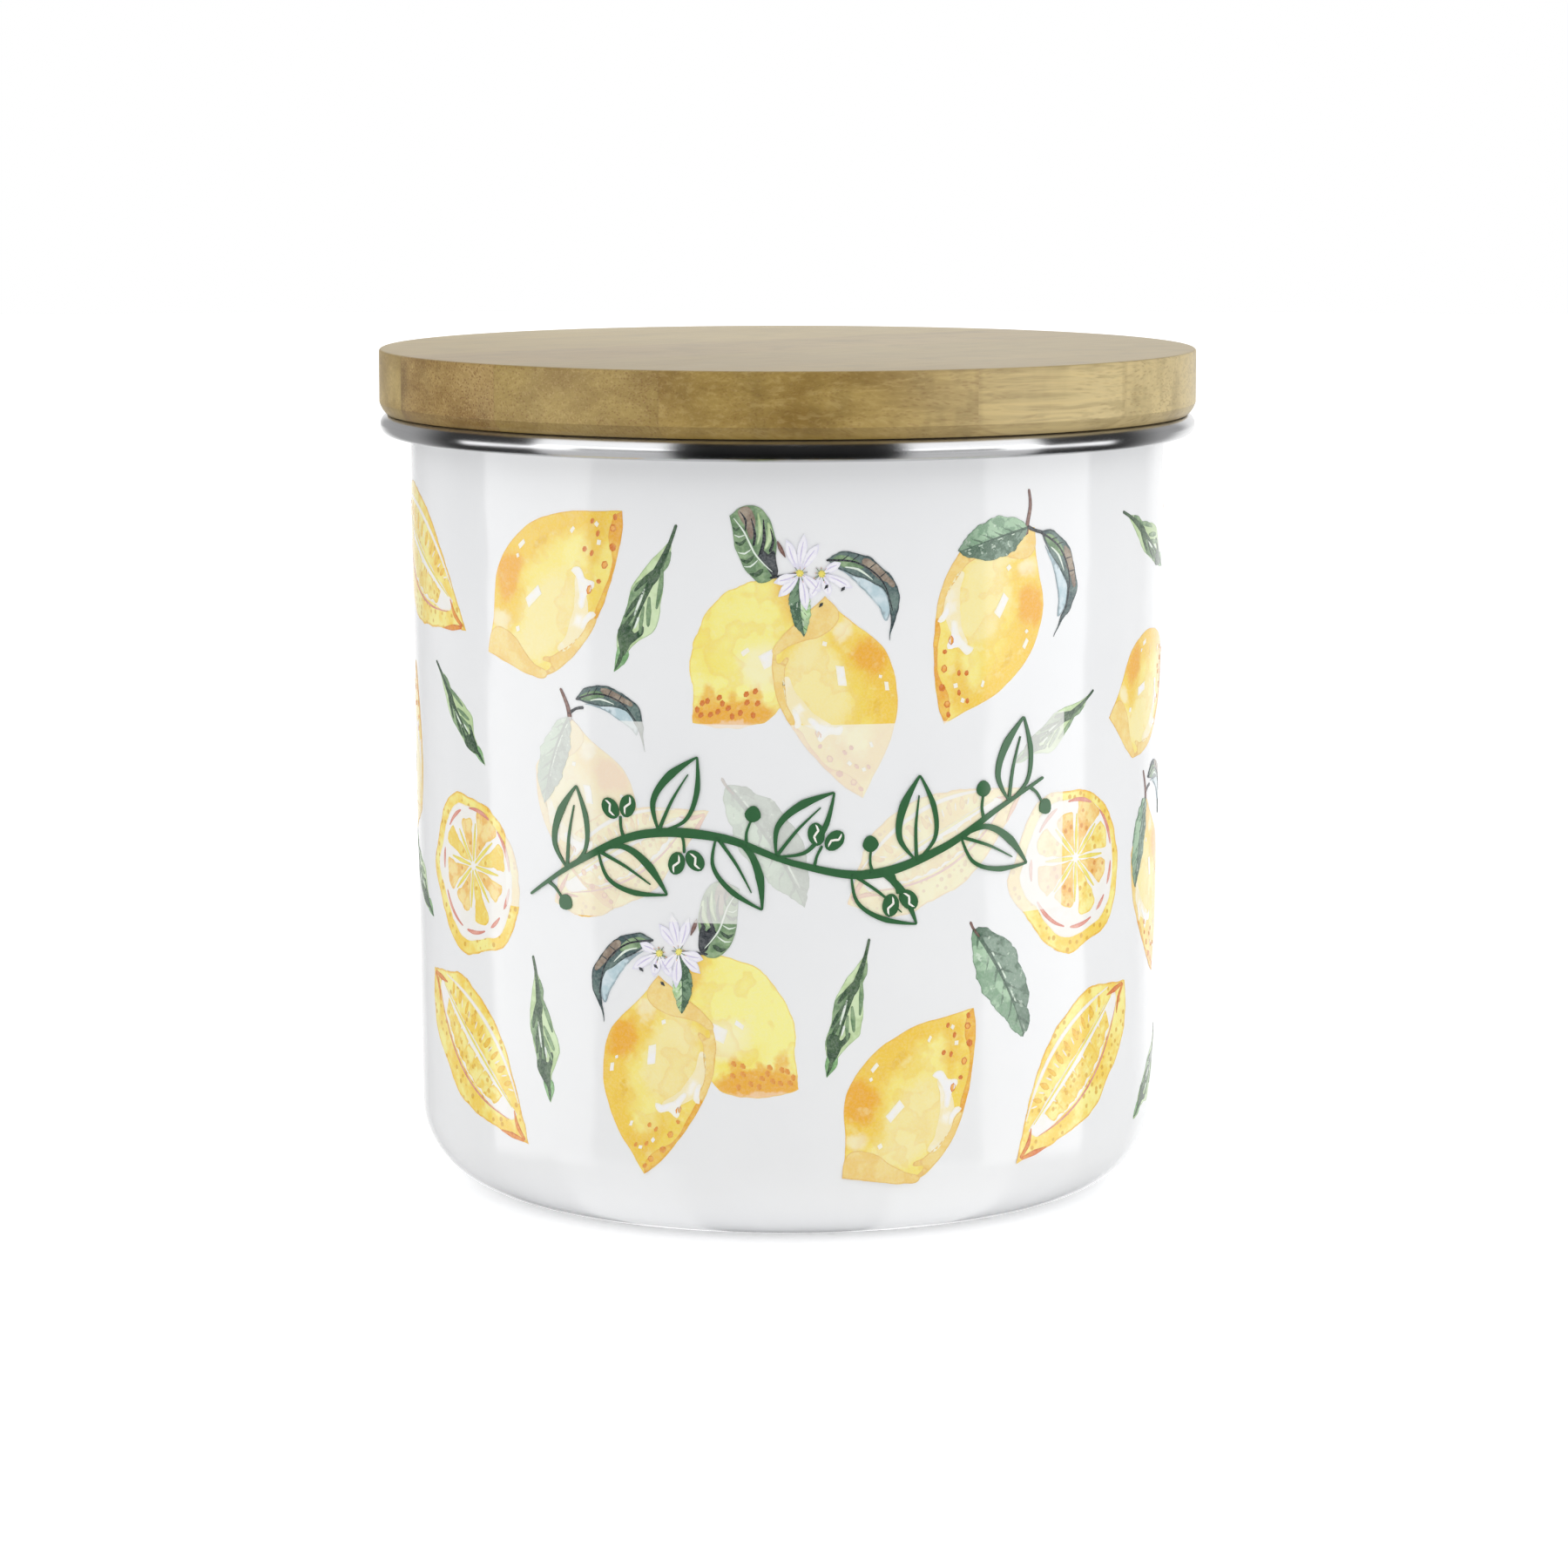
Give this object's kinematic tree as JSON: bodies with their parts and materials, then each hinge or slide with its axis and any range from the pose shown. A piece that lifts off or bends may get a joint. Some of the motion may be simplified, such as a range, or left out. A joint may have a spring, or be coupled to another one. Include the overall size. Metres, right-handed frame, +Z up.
{
  "type": "storage canister",
  "caption": "Round enamelled steel storage canister with a steel rim band and a lift-off bamboo lid sealed by a silicone ring.",
  "frame": {"origin": "centre of the base, on the surface that the canister stands on", "axes": "+Z up along the canister's axis, -Y towards the front, where the print's pale panel is"},
  "size_m": [0.115, 0.115, 0.1183],
  "materials": {
    "enamel": "glossy white vitreous enamel on steel, with a fired-in watercolour lemon print",
    "rim_steel": "polished stainless steel",
    "bamboo": "oiled, edge-glued bamboo strips",
    "plug_bamboo": "bare sanded bamboo",
    "silicone": "translucent white silicone"
  },
  "bodies": {
    "canister": {"canister_body": "enamel", "rim_band": "rim_steel"},
    "seal": {"seal_ring": "silicone"},
    "lid": {"lid_strip_1": "bamboo", "lid_strip_2": "bamboo", "lid_strip_3": "bamboo", "lid_strip_4": "bamboo", "lid_strip_5": "bamboo", "lid_strip_6": "bamboo", "plug_disc": "plug_bamboo"}
  },
  "joints": [
    {"name": "lid_lift", "type": "slide", "parent": "canister", "child": "seal", "axis": [0, 0, 1], "range_m": [0, 0.04]},
    {"name": "lid_turn", "type": "hinge", "parent": "seal", "child": "lid", "pos_m": [0, 0, 0.105], "axis": [0, 0, 1], "continuous": true}
  ]
}
